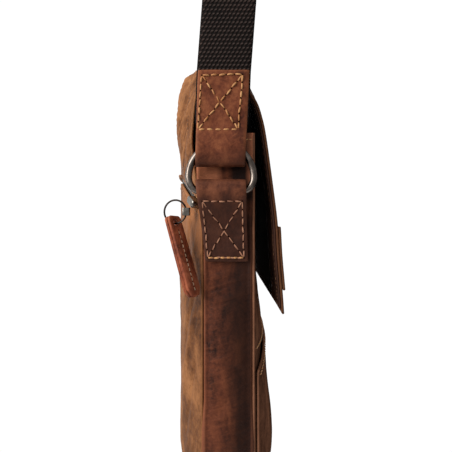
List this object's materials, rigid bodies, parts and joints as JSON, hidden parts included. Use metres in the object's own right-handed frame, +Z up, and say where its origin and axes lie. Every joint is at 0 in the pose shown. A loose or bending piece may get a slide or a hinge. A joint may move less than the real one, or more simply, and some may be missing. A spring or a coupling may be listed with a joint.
{
  "type": "crossbody bag",
  "caption": "Brown leather flap-over crossbody bag with a dark webbing strap, D-rings on stitched side tabs and a zipped back pocket with a leather pull",
  "frame": {"origin": "the hang point: the underside of the strap's arch, in the middle of the bag's width", "axes": "+X across the bag away from the zip pull, +Y from the flap to the back panel, +Z up along the hanging strap"},
  "size_m": [0.3891, 0.0947, 0.7232],
  "materials": {
    "leather": "waxed pull-up leather, satin",
    "leather_tan": "waxed pull-up leather, satin, rubbed lighter",
    "leather_dark": "waxed pull-up leather, darkened",
    "lining": "plain black cloth",
    "webbing": "coarse woven webbing, matt",
    "zip_cloth": "woven zip tape, matt",
    "ring_metal": "dark nickel, polished",
    "zip_metal": "dark nickel, worn"
  },
  "bodies": {
    "root": {"gusset": "leather", "front_panel": "leather_dark", "back_panel": "leather_tan", "front_pocket": "leather_dark", "flap": "leather_tan", "flap_lining": "lining", "flap_facing_left": "leather_dark", "flap_facing_right": "leather_dark", "flap_overlay": "leather_tan", "lining_collar": "lining", "strap_webbing": "webbing", "strap_tab_left": "leather", "side_tab_left": "leather", "ring_left": "ring_metal", "strap_tab_right": "leather", "side_tab_right": "leather", "ring_right": "ring_metal", "zip_tape": "zip_cloth", "zip_teeth": "zip_metal", "zip_slider": "zip_metal", "zip_link": "zip_metal", "pull_ring": "zip_metal", "zip_pull": "leather"}
  },
  "joints": []
}
